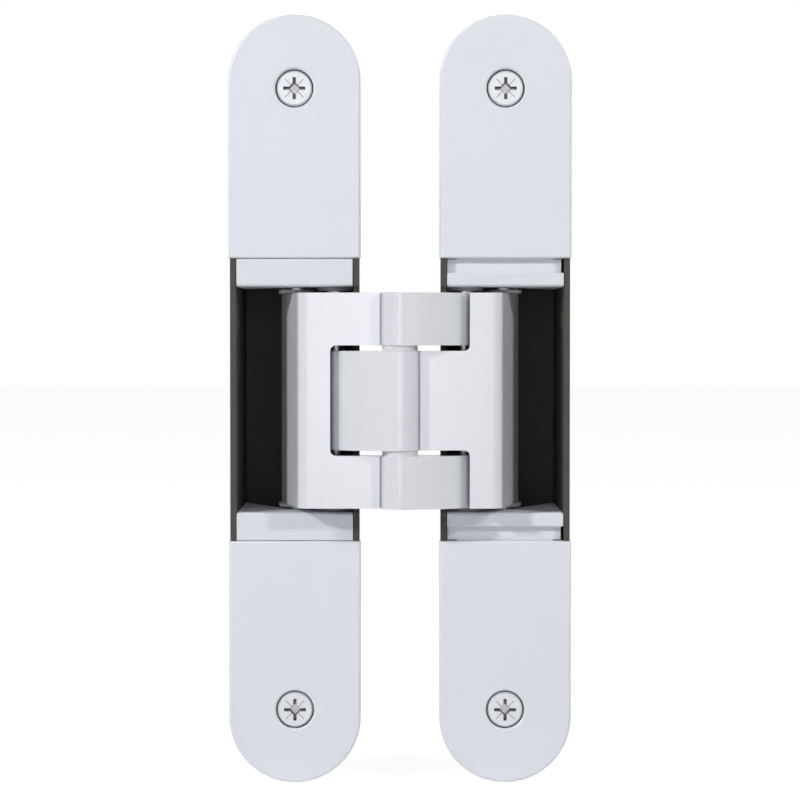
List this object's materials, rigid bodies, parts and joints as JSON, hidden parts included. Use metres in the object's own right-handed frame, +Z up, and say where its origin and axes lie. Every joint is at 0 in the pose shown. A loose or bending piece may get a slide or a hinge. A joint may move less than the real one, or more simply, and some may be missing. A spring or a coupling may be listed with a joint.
{
  "type": "concealed door hinge",
  "caption": "Concealed hinge for flush doors: round-ended leaves with cover plates, joined by interlocking fork and tongue arms that fold into their pockets as the door closes.",
  "frame": {"origin": "middle of the frame leaf's fixing holes, on the seat of its flange", "axes": "+X across the leaves from the frame leaf to the door leaf when fully open, +Y into the wood, +Z up the door"},
  "size_m": [0.0713, 0.0375, 0.16],
  "materials": {
    "housing_coat": "satin",
    "cover_coat": "satin",
    "block_metal": "satin",
    "arm_metal": "satin",
    "pin_steel": "polished",
    "screw_steel": "bright zinc",
    "washer_plastic": "satin"
  },
  "bodies": {
    "frame_leaf": {"frame_leaf_housing": "housing_coat", "frame_cover_plate_upper": "cover_coat", "frame_cover_plate_lower": "cover_coat", "frame_bearing_block_upper": "block_metal", "frame_bearing_block_lower": "block_metal", "frame_cover_screws": "screw_steel", "frame_near_pin": "pin_steel", "frame_near_washers": "washer_plastic"},
    "tongue_arm": {"tongue_arm": "arm_metal", "tongue_slide_pin": "pin_steel", "tongue_slide_washers": "washer_plastic"},
    "fork_arm": {"fork_arm": "arm_metal", "centre_pin": "pin_steel", "centre_spacers": "washer_plastic", "fork_slide_pin": "pin_steel", "fork_slide_washers": "washer_plastic"},
    "door_leaf": {"door_leaf_housing": "housing_coat", "door_cover_plate_upper": "cover_coat", "door_cover_plate_lower": "cover_coat", "door_bearing_block_upper": "block_metal", "door_bearing_block_lower": "block_metal", "door_cover_screws": "screw_steel", "door_near_pin": "pin_steel", "door_near_washers": "washer_plastic"}
  },
  "joints": [
    {"name": "frame_near_pivot", "type": "hinge", "parent": "frame_leaf", "child": "tongue_arm", "pos_m": [0.00825, 0.0036, 0], "axis": [0, 0, -1], "range_deg": [0, 102.17]},
    {"name": "centre_pivot", "type": "hinge", "parent": "tongue_arm", "child": "fork_arm", "pos_m": [0.02195, -0.0087, 0], "axis": [0, 0, 1], "range_deg": [0, 24.33]},
    {"name": "door_near_pivot", "type": "hinge", "parent": "fork_arm", "child": "door_leaf", "pos_m": [0.03565, 0.0036, 0], "axis": [0, 0, -1], "range_deg": [0, 102.17]}
  ],
  "couplings": [
    {"joint": "centre_pivot", "follows": "frame_near_pivot", "ratio": 0.23817},
    {"joint": "door_near_pivot", "follows": "frame_near_pivot", "ratio": 1}
  ]
}
